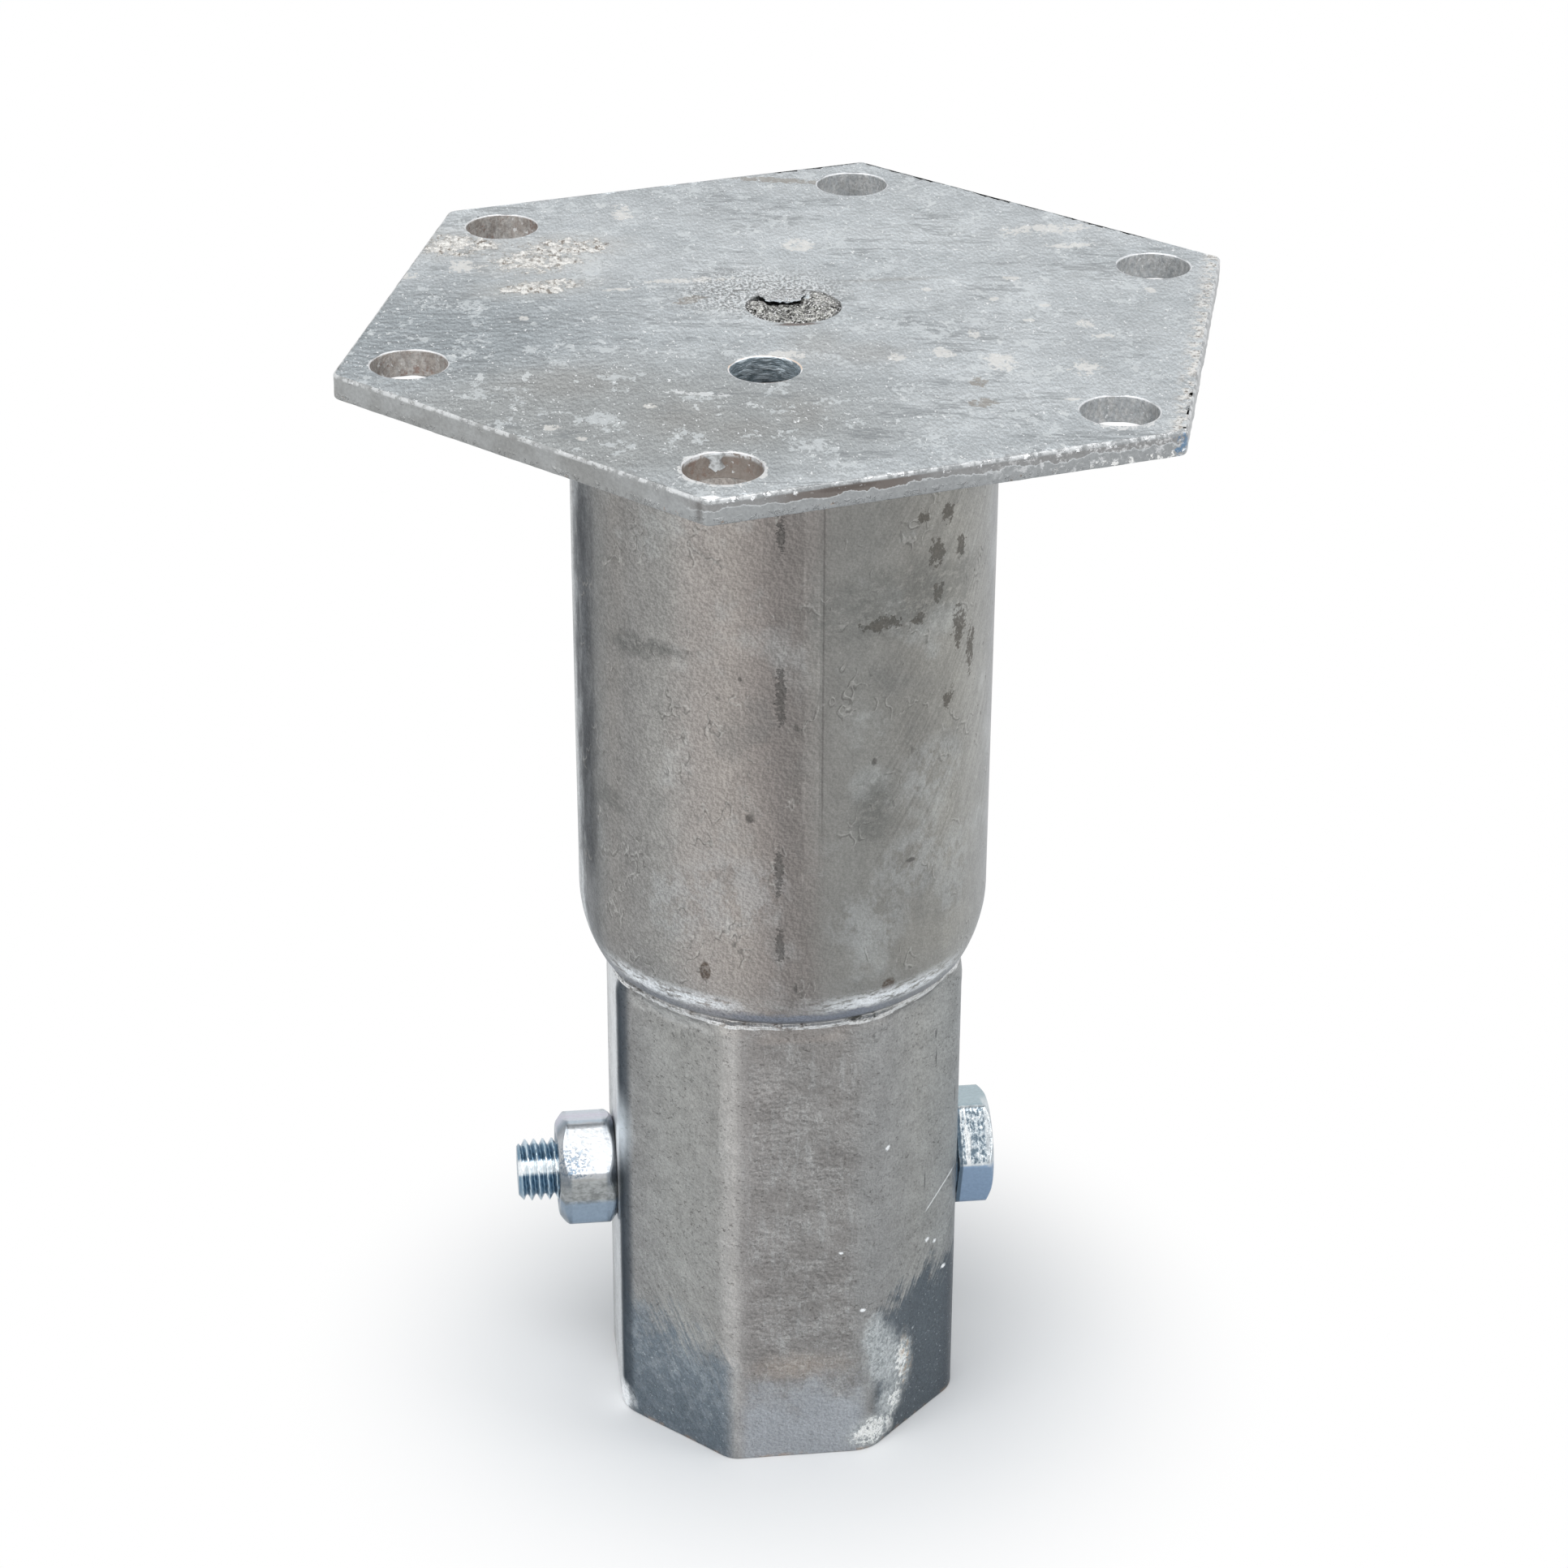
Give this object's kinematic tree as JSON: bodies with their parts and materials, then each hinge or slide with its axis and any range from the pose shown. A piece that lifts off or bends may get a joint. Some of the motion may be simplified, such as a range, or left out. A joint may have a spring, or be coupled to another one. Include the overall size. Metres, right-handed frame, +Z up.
{
  "type": "ground screw head",
  "caption": "Flanged head of a ground screw: a hexagonal bolt-hole plate welded on a round tube that is pressed to an octagonal socket, with a cross bolt and nut.",
  "frame": {"origin": "on the tube's axis, at the open lower end of the octagonal socket", "axes": "+Z up the tube to the flange plate, +X along the cross bolt towards its head"},
  "size_m": [0.2131, 0.2111, 0.2963],
  "materials": {
    "plate_zinc": "weathered hot-dip zinc",
    "tube_zinc": "bright hot-dip zinc, streaked",
    "weld_zinc": "dull hot-dip zinc over a weld",
    "bolt_zinc": "satin zinc",
    "nut_zinc": "pale matt zinc",
    "slag": "granular"
  },
  "bodies": {
    "root": {"flange_plate": "plate_zinc", "shaft_tube": "tube_zinc", "flange_weld": "weld_zinc", "cross_bolt": "bolt_zinc", "hex_nut": "nut_zinc", "vent_slag": "slag"}
  },
  "joints": []
}
